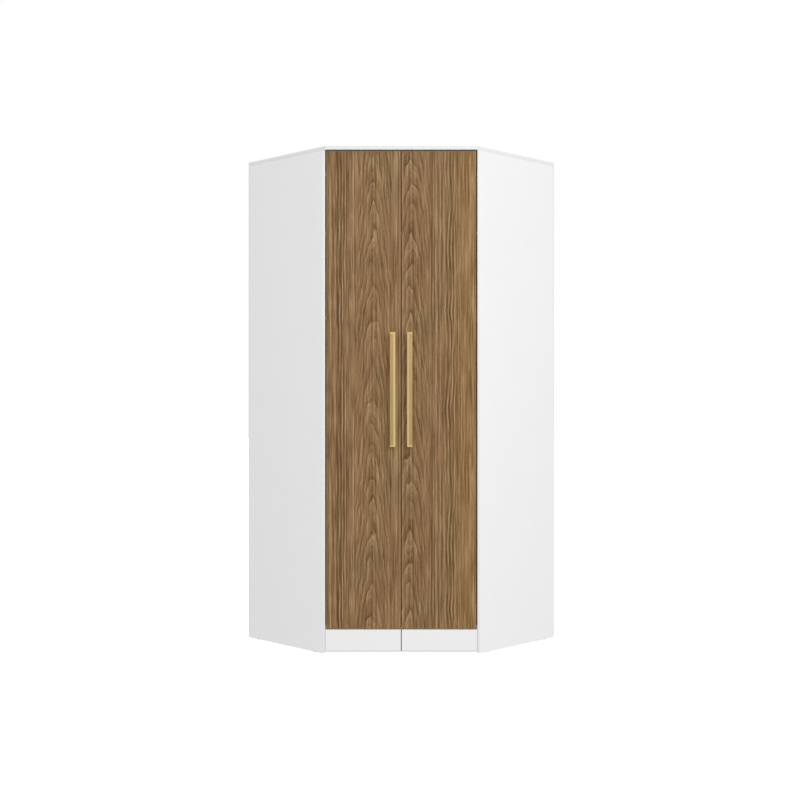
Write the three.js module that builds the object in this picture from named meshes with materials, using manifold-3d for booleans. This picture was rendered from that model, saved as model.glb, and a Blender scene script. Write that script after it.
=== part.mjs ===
// Corner wardrobe in millimetres, +Z up. Two walls meet at a right angle behind it, and its two doors
// close the cut-off front corner, which faces -Y. The origin is on the floor, in the middle of the
// rectangle that the whole wardrobe fills, handles included.
import * as THREE from 'three'
import { mergeVertices } from 'three/addons/utils/BufferGeometryUtils.js'
import Module from 'manifold-3d'

const wasm = await Module()
wasm.setup()

// Whole wardrobe
const height = 2200
const wallRun = 1000 // from the back corner to the outer face of a side panel, along each wall
const sideDepth = 518 // of the faces of a side panel, square to its wall
const topOverhang = 17 // of the top past the faces of the side panels, measured along them
const board = 15 // melamine-faced board of the carcass
const doorBoard = 15 // wood-grain board of the doors
const backSheet = 3 // hardboard of the back
const seat = 0.3 // play between faces that meet
const overrun = 1 // by which a cut or a joined piece runs past a face

// Base
const baseHeight = 105.5 // floor to the underside of the bottom panel
const baseFloorGap = 9 // under the boards of the base
const plinthSeam = 4 // between the two plinth boards
const plinthEndGap = 1 // beside a plinth board, to the point of the side panel
const plinthBlockLength = 45 // of the block behind the outer end of a plinth board
const plinthBlockDepth = 30
const battenLeg = 60 // of the triangular batten, along each wall
const glideHeight = 2
const glideRadius = 6.5
const glideInset = 60 // of a glide's middle from the front or the back of its side panel's faces

// Doors
const doorGap = 3 // between the two leaves
const doorRecess = 12 // of the leaves behind the front edge of the top panel
const doorTopGap = 4
const doorSideGap = 5 // beside a leaf, to the point of the side panel
const doorBottomGap = 2.5 // over the plinth, which is flush with the leaves

// Hat shelf, hanging rails and the strip over the joint of the back sheets
const hatShelfClear = 350 // between the shelf and the top
const hatShelfSetback = 20
const stripWidth = 24
const stripWeb = 1.2
const stripCap = 1.2
const railFromWall = 258
const railDrop = 60 // of a rail's axis below the shelf
const railGap = 45 // from the end of one rail to the axis of the other
const railRadius = 12.5
const railWall = 1.2
const socketWall = 3
const socketDepth = 12
const flangeRadius = 25
const flangeThickness = 3
const hangerPlateLength = 44
const hangerPlateWidth = 30
const hangerPlateThickness = 2.5
const hangerStemLength = 16
const hangerStemWidth = 10

// Handles
const handleFromMiddle = 25 // of the bar's inner edge from the middle of the wardrobe
const handleWidth = 25
const handleLength = 496
const handleHoleInset = 8 // of a screw hole from the end of the bar
const handleMiddleZ = 1146
const handleReach = 34 // from the door to the front of the bar
const barThickness = 12
const innerBevelWidth = 9
const outerBevelWidth = 3.5
const endBevelLength = 8
const barBevelDepth = 5
const postWidth = 12
const postHeight = 14
const screwRadius = 2
const screwHeadRadius = 4
const screwHeadHeight = 2.2
const screwGrip = 8 // of a handle screw in its post

// Concealed hinges
const hingesPerDoor = 4
const hingeEndDistance = 100 // from each end of the leaf to the middle of the nearest hinge
const pivotInset = 5 // of the turning axis from the outer edge of the leaf
const pivotClearance = 1.5 // between the swinging edge of the leaf and the hinge straps
const carcassClearance = 1 // between the swinging edge of the leaf and the bottom panel
const cupInset = 22.5 // of the cup's middle from the outer edge of the leaf
const cupRadius = 17.5
const cupDepth = 11.5
const cupWall = 1
const cupRimRadius = 19
const cupFlangeLength = 62
const cupFlangeWidth = 16
const cupFlangeOffset = 6 // of the flange's middle from the cup's, away from the leaf's edge
const cupFlangeThickness = 1.2
const strapThickness = 2
const strapWidth = 2 // of the outer straps, along the axis
const strapPlay = 0.5
const linkWidth = 8
const armHeight = 10
const armLength = 74
const armFrontReach = 11 // of the arm past the faces of the side panel
const plateInset = 37 // of the mounting plate's middle from the front of the side panel's faces
const plateThickness = 3
const plateLength = 36
const plateWing = 16
const plateHeight = 50

// Turns of the hinge straps about the axis on the right-hand door, in degrees from +X when closed
const armSpanDegrees = [62, 158]
const linkSpanDegrees = [100, 188]
const cupSpanDegrees = [130, 184]
const slotMarginDegrees = 5

// Worked out from the sizes above
const diagonal = Math.SQRT1_2
const topDepth = sideDepth + topOverhang
const frontSpan = diagonal * (wallRun + topDepth)
const yBack = (frontSpan + handleReach - doorRecess) / 2
const doorFront = yBack - frontSpan + doorRecess
const doorBack = doorFront + doorBoard
const topUnderside = height - board
const bottomTop = baseHeight + board
const innerSide = wallRun - board
const innerFrontX = diagonal * (innerSide - sideDepth)
const doorOuterX = innerFrontX - doorSideGap
const doorLow = baseHeight + doorBottomGap
const doorHigh = topUnderside - doorTopGap
const pivotX = doorOuterX - pivotInset
const pivotY = doorFront + doorBoard / 2
const edgeSwing = Math.hypot(pivotInset, doorBoard / 2)
const carcassFront = pivotY + edgeSwing + carcassClearance
const plinthBack = doorFront + board
const plinthEnd = innerFrontX - plinthEndGap
const boardEnd = innerSide - seat // where a board between the side panels ends, along the wall
const rear = backSheet + seat
const battenFaceY = yBack - diagonal * (2 * rear + battenLeg)
const cornerCutY = battenFaceY - seat
const shelfTop = topUnderside - hatShelfClear
const shelfUnderside = shelfTop - board
const railZ = shelfUnderside - railDrop
const railInnerEnd = railFromWall + railGap
const socketBore = railRadius + seat
const socketRadius = socketBore + socketWall
const handleMiddleX = handleFromMiddle + handleWidth / 2
const strapInner = edgeSwing + pivotClearance
const strapOuter = strapInner + strapThickness
const linkHalf = linkWidth / 2
const armStrapLow = linkHalf + strapPlay
const armHalf = armStrapLow + strapWidth
const cupStrapLow = armHalf + strapPlay
const cupStrapHigh = cupStrapLow + strapWidth

const white = { color: 0xe9e9e7, roughness: 0.55, metalness: 0 }
const wood = { color: 0x8f7454, roughness: 0.6, metalness: 0 }
const gold = { color: 0xbfa172, roughness: 0.35, metalness: 0.9 }
const nickel = { color: 0xb9bbbd, roughness: 0.3, metalness: 0.9 }
const chrome = { color: 0xd2d4d6, roughness: 0.15, metalness: 1 }
const greyPlastic = { color: 0x8d8f91, roughness: 0.6, metalness: 0 }
const whitePlastic = { color: 0xf0f0ee, roughness: 0.5, metalness: 0 }

const roundSegments = 24
const strapSegments = 6
const wardrobe = new THREE.Group()

function addMesh(parent, name, geometry, finish) {
  const mesh = new THREE.Mesh(geometry, new THREE.MeshStandardMaterial(finish))
  mesh.name = name
  parent.add(mesh)
  return mesh
}

// A place in plan beside a wall: side 1 is the right-hand wall and -1 the left-hand one, along runs
// from the back corner and inward runs square to the wall, into the wardrobe.
function wallPoint(side, along, inward) {
  return new THREE.Vector2(side * diagonal * (along - inward), yBack - diagonal * (along + inward))
}

// The one of along and inward that goes with the other at a given y.
function otherAt(y, known) {
  return (yBack - y) / diagonal - known
}

// An outline that is alike on both sides, from its right half and what lies on the middle line.
function symmetricOutline(rightHalf, middle = []) {
  const right = rightHalf.map(([along, inward]) => wallPoint(1, along, inward))
  const left = rightHalf.map(([along, inward]) => wallPoint(-1, along, inward))
  return [...right, ...middle, ...left.reverse()]
}

function rectangle(xLow, xHigh, yLow, yHigh) {
  return [
    new THREE.Vector2(xLow, yLow),
    new THREE.Vector2(xHigh, yLow),
    new THREE.Vector2(xHigh, yHigh),
    new THREE.Vector2(xLow, yHigh),
  ]
}

// A plan outline raised from one height to another.
function slab(outline, zLow, zHigh) {
  const shape = outline instanceof THREE.Shape ? outline : new THREE.Shape(outline)
  const options = { depth: 1, bevelEnabled: false, curveSegments: strapSegments }
  const geometry = new THREE.ExtrudeGeometry(shape, options)
  const position = geometry.getAttribute('position')
  for (let index = 0; index < position.count; index += 1) {
    position.setZ(index, position.getZ(index) > 0 ? zHigh : zLow)
  }
  return geometry
}

// A band of a ring about the turning axis, between two turns in degrees.
function band(inner, outer, [from, to]) {
  const start = THREE.MathUtils.degToRad(from)
  const end = THREE.MathUtils.degToRad(to)
  const shape = new THREE.Shape()
  shape.absarc(0, 0, outer, start, end, false)
  shape.absarc(0, 0, inner, end, start, true)
  shape.closePath()
  return shape
}

function disc(x, y, radius) {
  const circle = new THREE.EllipseCurve(x, y, radius, radius)
  return new THREE.Shape(circle.getPoints(roundSegments).slice(0, -1))
}

// A cylinder along Y between two values of y.
function pinAlongY(radius, x, yLow, yHigh, z) {
  const geometry = new THREE.CylinderGeometry(radius, radius, yHigh - yLow, roundSegments)
  return geometry.translate(x, (yLow + yHigh) / 2, z)
}

function toSolid(geometry) {
  const bare = new THREE.BufferGeometry()
  bare.setAttribute('position', geometry.getAttribute('position'))
  bare.setIndex(geometry.getIndex())
  const merged = mergeVertices(bare)
  const vertProperties = new Float32Array(merged.getAttribute('position').array)
  const triVerts = new Uint32Array(merged.getIndex().array)
  return new wasm.Manifold(new wasm.Mesh({ numProp: 3, vertProperties, triVerts }))
}

function toGeometry(solid) {
  const { vertProperties, triVerts } = solid.getMesh()
  const geometry = new THREE.BufferGeometry()
  geometry.setAttribute('position', new THREE.BufferAttribute(vertProperties, 3))
  geometry.setIndex(new THREE.BufferAttribute(triVerts, 1))
  return geometry
}

function join(...geometries) {
  return toGeometry(geometries.map(toSolid).reduce((whole, piece) => whole.add(piece)))
}

function cut(body, ...tools) {
  return toGeometry(tools.map(toSolid).reduce((rest, tool) => rest.subtract(tool), toSolid(body)))
}

function overlapOf(first, second) {
  return toGeometry(toSolid(first).intersect(toSolid(second)))
}

// The right-hand shape as it is, or its mirror image for the left-hand side.
function handed(geometry, side) {
  if (side > 0) return geometry
  const mirrored = geometry.clone().scale(-1, 1, 1)
  const index = mirrored.getIndex()
  if (index === null) return handed(mergeVertices(geometry), side)
  for (let corner = 0; corner < index.count; corner += 3) {
    const first = index.getX(corner)
    index.setX(corner, index.getX(corner + 1))
    index.setX(corner + 1, first)
  }
  return mirrored
}

const sides = [
  { side: -1, name: 'left' },
  { side: 1, name: 'right' },
]

// Carcass boards that lie flat
function addFlatBoards() {
  const topHalf = [[wallRun, topDepth], [wallRun, 0]]
  const topOutline = symmetricOutline(topHalf, [wallPoint(1, 0, 0)])
  addMesh(wardrobe, 'top_panel', slab(topOutline, topUnderside, height), white)

  const bottomHalf = [
    [boardEnd, otherAt(carcassFront, boardEnd)],
    [boardEnd, rear],
    [otherAt(cornerCutY, rear), rear],
  ]
  addMesh(wardrobe, 'bottom_panel', slab(symmetricOutline(bottomHalf), baseHeight, bottomTop), white)

  const shelfRear = rear + stripCap + seat
  const shelfHalf = [
    [boardEnd, otherAt(carcassFront + hatShelfSetback, boardEnd)],
    [boardEnd, shelfRear],
    [otherAt(cornerCutY, shelfRear), shelfRear],
  ]
  addMesh(wardrobe, 'hat_shelf', slab(symmetricOutline(shelfHalf), shelfUnderside, shelfTop), white)
}

// Outline of a box beside a wall
function wallBox(side, alongLow, alongHigh, inwardLow, inwardHigh) {
  return [
    wallPoint(side, alongLow, inwardLow),
    wallPoint(side, alongHigh, inwardLow),
    wallPoint(side, alongHigh, inwardHigh),
    wallPoint(side, alongLow, inwardHigh),
  ]
}

// The front end of a side panel is cut to a right-angled point: one face is flush with the leaves and
// the plinth, and the other is square to them.
function addSidePanel({ side, name }) {
  const outerCorner = wallPoint(side, wallRun, sideDepth)
  const outline = [
    wallPoint(side, innerSide, rear),
    wallPoint(side, wallRun, rear),
    outerCorner,
    new THREE.Vector2(side * innerFrontX, outerCorner.y),
    wallPoint(side, innerSide, sideDepth),
  ]
  addMesh(wardrobe, `${name}_side_panel`, slab(outline, glideHeight, topUnderside), white)
  const glides = { front: sideDepth - glideInset, rear: rear + glideInset }
  for (const [end, inward] of Object.entries(glides)) {
    const middle = wallPoint(side, wallRun - board / 2, inward)
    const glide = slab(disc(middle.x, middle.y, glideRadius), 0, glideHeight)
    addMesh(wardrobe, `${name}_${end}_glide`, glide, greyPlastic)
  }
}

// Two hardboard sheets to a wall, with a strip over their joint
function addBack({ side, name }) {
  const jointAlong = (rear + wallRun) / 2
  const sheetEdge = stripWeb / 2 + seat
  const sheets = { inner: [rear, jointAlong - sheetEdge], outer: [jointAlong + sheetEdge, wallRun] }
  for (const [place, [low, high]] of Object.entries(sheets)) {
    const outline = wallBox(side, low, high, 0, backSheet)
    const sheet = slab(outline, baseFloorGap, topUnderside)
    addMesh(wardrobe, `${name}_back_sheet_${place}`, sheet, white)
  }
  const corners = [
    [jointAlong - stripWidth / 2, rear],
    [jointAlong - stripWeb / 2, rear],
    [jointAlong - stripWeb / 2, 0],
    [jointAlong + stripWeb / 2, 0],
    [jointAlong + stripWeb / 2, rear],
    [jointAlong + stripWidth / 2, rear],
    [jointAlong + stripWidth / 2, rear + stripCap],
    [jointAlong - stripWidth / 2, rear + stripCap],
  ]
  const outline = corners.map(([along, inward]) => wallPoint(side, along, inward))
  addMesh(wardrobe, `${name}_back_joint_strip`, slab(outline, bottomTop, topUnderside), whitePlastic)
}

function addBackCorner() {
  const outline = [
    wallPoint(1, rear, rear),
    wallPoint(1, rear + battenLeg, rear),
    wallPoint(-1, rear + battenLeg, rear),
  ]
  addMesh(wardrobe, 'back_corner_batten', slab(outline, glideHeight, topUnderside), white)
  const glideY = (yBack + battenFaceY - diagonal * 2 * rear) / 2
  addMesh(wardrobe, 'back_corner_glide', slab(disc(0, glideY, glideRadius), 0, glideHeight), greyPlastic)
}

// Each plinth board has a block glued behind its outer end, which fits against the side panel.
function addBase() {
  const blockBack = plinthBack + plinthBlockDepth
  const blockInnerX = plinthEnd - plinthBlockLength
  const supportOutline = rectangle(-board / 2, board / 2, plinthBack + seat, cornerCutY)
  addMesh(wardrobe, 'plinth_centre_support', slab(supportOutline, baseFloorGap, baseHeight), white)
  for (const { side, name } of sides) {
    const plinthOutline = [
      new THREE.Vector2(side * plinthSeam / 2, doorFront),
      new THREE.Vector2(side * plinthEnd, doorFront),
      wallPoint(side, boardEnd, boardEnd - plinthEnd / diagonal),
      wallPoint(side, boardEnd, otherAt(blockBack, boardEnd)),
      new THREE.Vector2(side * blockInnerX, blockBack),
      new THREE.Vector2(side * blockInnerX, plinthBack),
      new THREE.Vector2(side * plinthSeam / 2, plinthBack),
    ]
    addMesh(wardrobe, `${name}_plinth_board`, slab(plinthOutline, baseFloorGap, baseHeight), white)
    const rearOutline = wallBox(side, rear + battenLeg + seat, boardEnd, rear, rear + board)
    addMesh(wardrobe, `${name}_rear_base_board`, slab(rearOutline, baseFloorGap, baseHeight), white)
  }
}

// A socket for the end of a rail, open upwards along Y, on a disc of its own
function socketProfile(discRadius, floor) {
  const corners = [
    [0, 0],
    [discRadius, 0],
    [discRadius, floor],
    [socketRadius, floor],
    [socketRadius, floor + socketDepth],
    [socketBore, floor + socketDepth],
    [socketBore, floor],
    [0, floor],
  ]
  const distinct = corners.filter(([r], index) => index !== 2 || r !== socketRadius)
  return distinct.map(([r, h]) => new THREE.Vector2(r, h))
}

// A rail with its flange on the side panel and its hanger under the shelf. The group's X runs along
// the wall from the back corner.
function addRail({ side, name }) {
  const group = new THREE.Group()
  const start = wallPoint(side, 0, railFromWall)
  group.position.set(start.x, start.y, railZ)
  group.rotation.z = side > 0 ? -Math.PI / 4 : -3 * Math.PI / 4
  wardrobe.add(group)

  const flange = new THREE.LatheGeometry(socketProfile(flangeRadius, flangeThickness), roundSegments)
  flange.rotateZ(Math.PI / 2).translate(boardEnd, 0, 0)
  addMesh(group, `${name}_rail_flange`, flange, chrome)

  const railOuterEnd = boardEnd - flangeThickness - seat
  const section = disc(0, 0, railRadius)
  section.holes.push(disc(0, 0, railRadius - railWall))
  const rail = slab(section, railInnerEnd, railOuterEnd).rotateY(Math.PI / 2)
  addMesh(group, `${name}_hanging_rail`, rail, chrome)

  const socketBack = railInnerEnd - seat - socketWall
  const socket = new THREE.LatheGeometry(socketProfile(socketRadius, socketWall), roundSegments)
  socket.rotateZ(-Math.PI / 2).translate(socketBack, 0, 0)
  const plateHigh = railDrop - seat
  const plateLow = plateHigh - hangerPlateThickness
  const hangerMiddle = socketBack + socketWall / 2 + hangerStemLength / 2
  const stem = slab(
    rectangle(socketBack, socketBack + hangerStemLength, -hangerStemWidth / 2, hangerStemWidth / 2),
    railRadius + seat + overrun, plateLow + overrun)
  const plate = slab(
    rectangle(
      hangerMiddle - hangerPlateLength / 2, hangerMiddle + hangerPlateLength / 2,
      -hangerPlateWidth / 2, hangerPlateWidth / 2),
    plateLow, plateHigh)
  addMesh(group, `${name}_rail_hanger`, join(socket, stem, plate), chrome)
}

// The heights of the hinges' middles, spread evenly between the two end ones
const hingeHeights = Array.from({ length: hingesPerDoor }, (_, index) => {
  const low = doorLow + hingeEndDistance
  const high = doorHigh - hingeEndDistance
  return low + (high - low) * index / (hingesPerDoor - 1)
})

const handleScrewHeights = {
  lower: handleMiddleZ - handleLength / 2 + handleHoleInset,
  upper: handleMiddleZ + handleLength / 2 - handleHoleInset,
}

function doorLeaf() {
  const leaf = slab(rectangle(doorGap / 2, doorOuterX, doorFront, doorBack), doorLow, doorHigh)
  const bores = hingeHeights.map((z) => pinAlongY(
    cupRadius + seat, doorOuterX - cupInset, doorBack - cupDepth - seat, doorBack + overrun, z))
  const holes = Object.values(handleScrewHeights).map((z) => pinAlongY(
    screwRadius + seat, handleMiddleX, doorFront - overrun, doorBack + overrun, z))
  return cut(leaf, ...bores, ...holes)
}

// A bar with a wide bevel along its inner edge, a narrow one along its outer edge and one at each end
function handleBar() {
  const outerX = handleFromMiddle + handleWidth
  const barFront = doorFront - handleReach
  const bevelBack = barFront + barBevelDepth
  const barBack = barFront + barThickness
  const low = handleMiddleZ - handleLength / 2
  const high = handleMiddleZ + handleLength / 2
  const section = [
    new THREE.Vector2(handleFromMiddle, barBack),
    new THREE.Vector2(handleFromMiddle, bevelBack),
    new THREE.Vector2(handleFromMiddle + innerBevelWidth, barFront),
    new THREE.Vector2(outerX - outerBevelWidth, barFront),
    new THREE.Vector2(outerX, bevelBack),
    new THREE.Vector2(outerX, barBack),
  ]
  const sideOutline = [
    new THREE.Vector2(barBack + overrun, low),
    new THREE.Vector2(bevelBack, low),
    new THREE.Vector2(barFront, low + endBevelLength),
    new THREE.Vector2(barFront - overrun, low + endBevelLength),
    new THREE.Vector2(barFront - overrun, high - endBevelLength),
    new THREE.Vector2(barFront, high - endBevelLength),
    new THREE.Vector2(bevelBack, high),
    new THREE.Vector2(barBack + overrun, high),
  ]
  const length = slab(section, low - overrun, high + overrun)
  const ends = slab(sideOutline, handleFromMiddle - overrun, outerX + overrun)
  const turned = new THREE.Matrix4().makeBasis(
    new THREE.Vector3(0, 1, 0), new THREE.Vector3(0, 0, 1), new THREE.Vector3(1, 0, 0))
  return overlapOf(length, ends.applyMatrix4(turned))
}

function handleWithPosts() {
  const barBack = doorFront - handleReach + barThickness
  const postEnd = doorFront - seat
  const posts = Object.values(handleScrewHeights).map((z) => slab(
    rectangle(
      handleMiddleX - postWidth / 2, handleMiddleX + postWidth / 2,
      barBack - overrun, postEnd),
    z - postHeight / 2, z + postHeight / 2))
  const holes = Object.values(handleScrewHeights).map((z) => pinAlongY(
    screwRadius + seat, handleMiddleX, postEnd - screwGrip, postEnd + overrun, z))
  return cut(join(handleBar(), ...posts), ...holes)
}

function handleScrew(z) {
  const shankEnd = doorFront - screwGrip
  const headFace = doorBack + seat
  return join(
    pinAlongY(screwRadius, handleMiddleX, shankEnd, headFace + overrun, z),
    pinAlongY(screwHeadRadius, handleMiddleX, headFace, headFace + screwHeadHeight, z))
}

function addDoor({ side, name }) {
  addMesh(wardrobe, `${name}_door`, handed(doorLeaf(), side), wood)
  addMesh(wardrobe, `${name}_handle`, handed(handleWithPosts(), side), gold)
  for (const [place, z] of Object.entries(handleScrewHeights)) {
    addMesh(wardrobe, `${name}_handle_screw_${place}`, handed(handleScrew(z), side), nickel)
  }
}

// The hinge pieces are drawn for the right-hand door, about its turning axis.
function fromPivot(along, inward) {
  return wallPoint(1, along, inward).sub(new THREE.Vector2(pivotX, pivotY))
}

function pivotBox(alongLow, alongHigh, inwardLow, inwardHigh) {
  return [
    fromPivot(alongLow, inwardLow),
    fromPivot(alongHigh, inwardLow),
    fromPivot(alongHigh, inwardHigh),
    fromPivot(alongLow, inwardHigh),
  ]
}

function mirroredSlabs(outline, low, high) {
  return [slab(outline, low, high), slab(outline, -high, -low)]
}

// Arm on its mounting plate, with two straps that reach round the axis into the cup
function hingeArm() {
  const plateFace = boardEnd - plateThickness
  const armTop = plateFace - armHeight
  const armFront = sideDepth + armFrontReach
  const plateMiddle = sideDepth - plateInset
  const body = slab(
    pivotBox(armTop, plateFace + overrun, armFront - armLength, armFront), -armHalf, armHalf)
  const swing = slab(disc(0, 0, strapInner), -armHalf - overrun, armHalf + overrun)
  const linkPath = slab(
    band(strapInner - strapPlay, strapOuter + strapPlay, [
      linkSpanDegrees[0] - slotMarginDegrees, linkSpanDegrees[1]]),
    -armStrapLow, armStrapLow)
  const inFront = slab(
    pivotBox(plateFace, boardEnd + board, sideDepth, armFront + overrun),
    -armHalf - overrun, armHalf + overrun)
  const plate = slab(
    pivotBox(plateFace, boardEnd, plateMiddle - plateLength / 2, plateMiddle + plateLength / 2),
    -armHalf, armHalf)
  const wings = slab(
    pivotBox(plateFace, boardEnd, plateMiddle - plateWing / 2, plateMiddle + plateWing / 2),
    -plateHeight / 2, plateHeight / 2)
  const straps = mirroredSlabs(band(strapInner, strapOuter, armSpanDegrees), armStrapLow, armHalf)
  return join(cut(body, swing, linkPath, inFront), plate, wings, ...straps)
}

function hingeLink() {
  return slab(band(strapInner, strapOuter, linkSpanDegrees), -linkHalf, linkHalf)
}

// Cup let into the back of the leaf, with its flange and the two straps that stand in it
function hingeCup() {
  const face = doorBoard / 2
  const rimTop = face + seat + cupFlangeThickness
  const bottom = face - cupDepth
  const middleX = pivotInset - cupInset
  const inner = cupRadius - cupWall
  const corners = [
    [0, bottom],
    [cupRadius, bottom],
    [cupRadius, face + seat],
    [cupRimRadius, face + seat],
    [cupRimRadius, rimTop],
    [inner, rimTop],
    [inner, bottom + cupWall],
    [0, bottom + cupWall],
  ]
  const profile = corners.map(([r, y]) => new THREE.Vector2(r, y))
  const bowl = new THREE.LatheGeometry(profile, roundSegments).translate(middleX, 0, 0)
  const flangeX = middleX - cupFlangeOffset
  const flange = slab(
    rectangle(
      flangeX - cupFlangeWidth / 2, flangeX + cupFlangeWidth / 2, face + seat, rimTop),
    -cupFlangeLength / 2, cupFlangeLength / 2)
  const mouth = pinAlongY(inner, middleX, face, rimTop + overrun, 0)
  const straps = mirroredSlabs(
    band(strapInner, strapOuter, cupSpanDegrees), cupStrapLow, cupStrapHigh)
  const feet = mirroredSlabs(
    rectangle(-strapOuter, -strapInner, bottom + cupWall / 2, 0), cupStrapLow, cupStrapHigh)
  return join(bowl, cut(flange, mouth), ...straps, ...feet)
}

function addHinges({ side, name }) {
  const pieces = { arm: hingeArm(), link: hingeLink(), cup: hingeCup() }
  hingeHeights.forEach((z, index) => {
    const hinge = new THREE.Group()
    hinge.position.set(side * pivotX, pivotY, z)
    wardrobe.add(hinge)
    for (const [piece, geometry] of Object.entries(pieces)) {
      addMesh(hinge, `${name}_hinge_${index + 1}_${piece}`, handed(geometry, side), nickel)
    }
  })
}

addFlatBoards()
addBackCorner()
addBase()
for (const place of sides) {
  addSidePanel(place)
  addBack(place)
  addRail(place)
  addDoor(place)
  addHinges(place)
}

export default wardrobe
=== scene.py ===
import math

import bmesh
import bpy
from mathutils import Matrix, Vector


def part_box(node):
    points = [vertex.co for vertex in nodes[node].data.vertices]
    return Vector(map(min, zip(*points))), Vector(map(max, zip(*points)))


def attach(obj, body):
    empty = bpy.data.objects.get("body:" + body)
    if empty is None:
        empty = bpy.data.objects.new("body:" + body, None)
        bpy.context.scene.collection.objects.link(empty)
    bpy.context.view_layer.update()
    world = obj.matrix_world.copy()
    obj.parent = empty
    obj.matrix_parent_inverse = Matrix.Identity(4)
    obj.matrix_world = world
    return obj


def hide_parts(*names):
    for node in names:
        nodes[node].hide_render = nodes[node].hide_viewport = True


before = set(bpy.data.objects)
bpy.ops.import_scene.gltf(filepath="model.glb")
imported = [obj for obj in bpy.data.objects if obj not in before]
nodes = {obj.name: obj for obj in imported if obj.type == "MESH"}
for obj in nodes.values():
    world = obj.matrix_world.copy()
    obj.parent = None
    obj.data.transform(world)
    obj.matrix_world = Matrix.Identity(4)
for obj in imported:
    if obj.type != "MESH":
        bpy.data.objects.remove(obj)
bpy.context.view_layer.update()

mm = 0.001
slant = math.sqrt(0.5)  # the walls run at 45 degrees to the doors
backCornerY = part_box("top_panel")[1].y
sideNames = {-1: "left", 1: "right"}


# Along runs from the back corner and inward from the wall, both in millimetres, and z is in metres
def wallPoint(side, along, inward, z):
    x = side * slant * (along - inward) * mm
    return Vector((x, backCornerY - slant * (along + inward) * mm, z))


def alongWay(side):
    return Vector((side * slant, -slant, 0))


def inwardWay(side):
    return Vector((-side * slant, -slant, 0))


def linear(hexColour):  # sRGB hex to the linear colour that a socket takes
    channels = [int(hexColour[place:place + 2], 16) / 255 for place in (1, 3, 5)]
    return [c / 12.92 if c <= 0.04045 else ((c + 0.055) / 1.055) ** 2.4 for c in channels] + [1]


def addNode(tree, kind, inputs=(), **settings):
    node = tree.nodes.new(kind)
    for name, value in settings.items():
        setattr(node, name, value)
    for key, value in inputs.items() if isinstance(inputs, dict) else enumerate(inputs):
        if isinstance(value, bpy.types.Node):
            value = value.outputs[0]
        if isinstance(value, bpy.types.NodeSocket):
            tree.links.new(value, node.inputs[key])
        elif value is not None:
            node.inputs[key].default_value = value
    return node


def newMaterial(name):
    material = bpy.data.materials.new(name)
    material.use_nodes = True
    tree = material.node_tree
    tree.nodes.clear()
    shader = addNode(tree, "ShaderNodeBsdfPrincipled")
    addNode(tree, "ShaderNodeOutputMaterial", {"Surface": shader})
    place = addNode(tree, "ShaderNodeTexCoord").outputs["Object"]
    return material, tree, shader, addNode(
        tree, "ShaderNodeVectorMath", {0: place, "Scale": 1 / mm}, operation="SCALE")


def stretched(tree, place, sizes):  # the place with one unit for each size, in millimetres
    return addNode(
        tree, "ShaderNodeVectorMath", [place, [1 / size for size in sizes]], operation="MULTIPLY")


def rampStops(node, stops):
    stopList = node.color_ramp.elements
    while len(stopList) < len(stops):
        stopList.new(0.5)
    for stop, (position, colour) in zip(stopList, stops):
        stop.position = position
        stop.color = linear(colour) if isinstance(colour, str) else (colour, colour, colour, 1)
    return node


# Camera, 5.35 m before the doors at chest height, level
cameraLook = {"lens": 55.48, "frame": 36, "place": (0, -5.8657, 1.1), "shiftX": -0.0016, "shiftY": 0.0002}

camera = bpy.data.objects.new("camera", bpy.data.cameras.new("camera"))
bpy.context.scene.collection.objects.link(camera)
camera.data.lens = cameraLook["lens"]
camera.data.sensor_width = cameraLook["frame"]
camera.data.shift_x = cameraLook["shiftX"]
camera.data.shift_y = cameraLook["shiftY"]
camera.location = cameraLook["place"]
camera.rotation_euler = (math.radians(90), 0, 0)
bpy.context.scene.camera = camera
bpy.context.scene.view_settings.view_transform = "Standard"


# Studio: a white room that is darker behind the camera, a soft key lamp high on the right, and a weaker
# lamp behind and over the camera that reaches into the gaps
studio = {
    "roomGlow": 0.83, "frontGlow": 0.35, "frontSpan": (0.55, 0.98), "seenGlow": 1.0,
    "floorSize": 60, "floorDrop": 0.0004, "floorGlow": 1.0, "floorColour": "#9c9c9c", "floorRoughness": 0.9,
}
lampLooks = {
    "keyLamp": {"power": 155, "size": 3.2, "place": (2.5, -6.4, 3.9), "aim": (0, -0.2, 1.1)},
    "frontLamp": {"power": 85, "size": 1.6, "place": (0, -7.6, 1.7), "aim": (0, -0.5, 1.1)},
}

world = bpy.data.worlds.new("studioRoom")
bpy.context.scene.world = world
world.use_nodes = True
roomTree = world.node_tree
roomTree.nodes.clear()
direction = addNode(roomTree, "ShaderNodeTexCoord").outputs["Generated"]
frontness = addNode(
    roomTree, "ShaderNodeVectorMath", [direction, (0, -1, 0)], operation="DOT_PRODUCT").outputs["Value"]
glow = addNode(roomTree, "ShaderNodeMapRange", [
    frontness, *studio["frontSpan"], studio["roomGlow"], studio["frontGlow"]],
    interpolation_type="SMOOTHSTEP")
seen = addNode(roomTree, "ShaderNodeLightPath").outputs["Is Camera Ray"]
strength = addNode(roomTree, "ShaderNodeMix", {
    "Factor": seen, 2: glow, 3: studio["seenGlow"]}, data_type="FLOAT")
roomLight = addNode(roomTree, "ShaderNodeBackground", {"Color": (1, 1, 1, 1), "Strength": strength})
addNode(roomTree, "ShaderNodeOutputWorld", {"Surface": roomLight})

for lampName, look in lampLooks.items():
    lampData = bpy.data.lights.new(lampName, "AREA")
    lampData.shape = "DISK"
    lampData.size = look["size"]
    lampData.energy = look["power"]
    lamp = bpy.data.objects.new(lampName, lampData)
    bpy.context.scene.collection.objects.link(lamp)
    lamp.location = look["place"]
    lamp.rotation_euler = (Vector(look["aim"]) - lamp.location).to_track_quat("-Z", "Y").to_euler()
    lamp.visible_camera = False
    lamp.visible_glossy = lampName == "keyLamp"  # the handles mirror the room, not the front lamp

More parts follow.
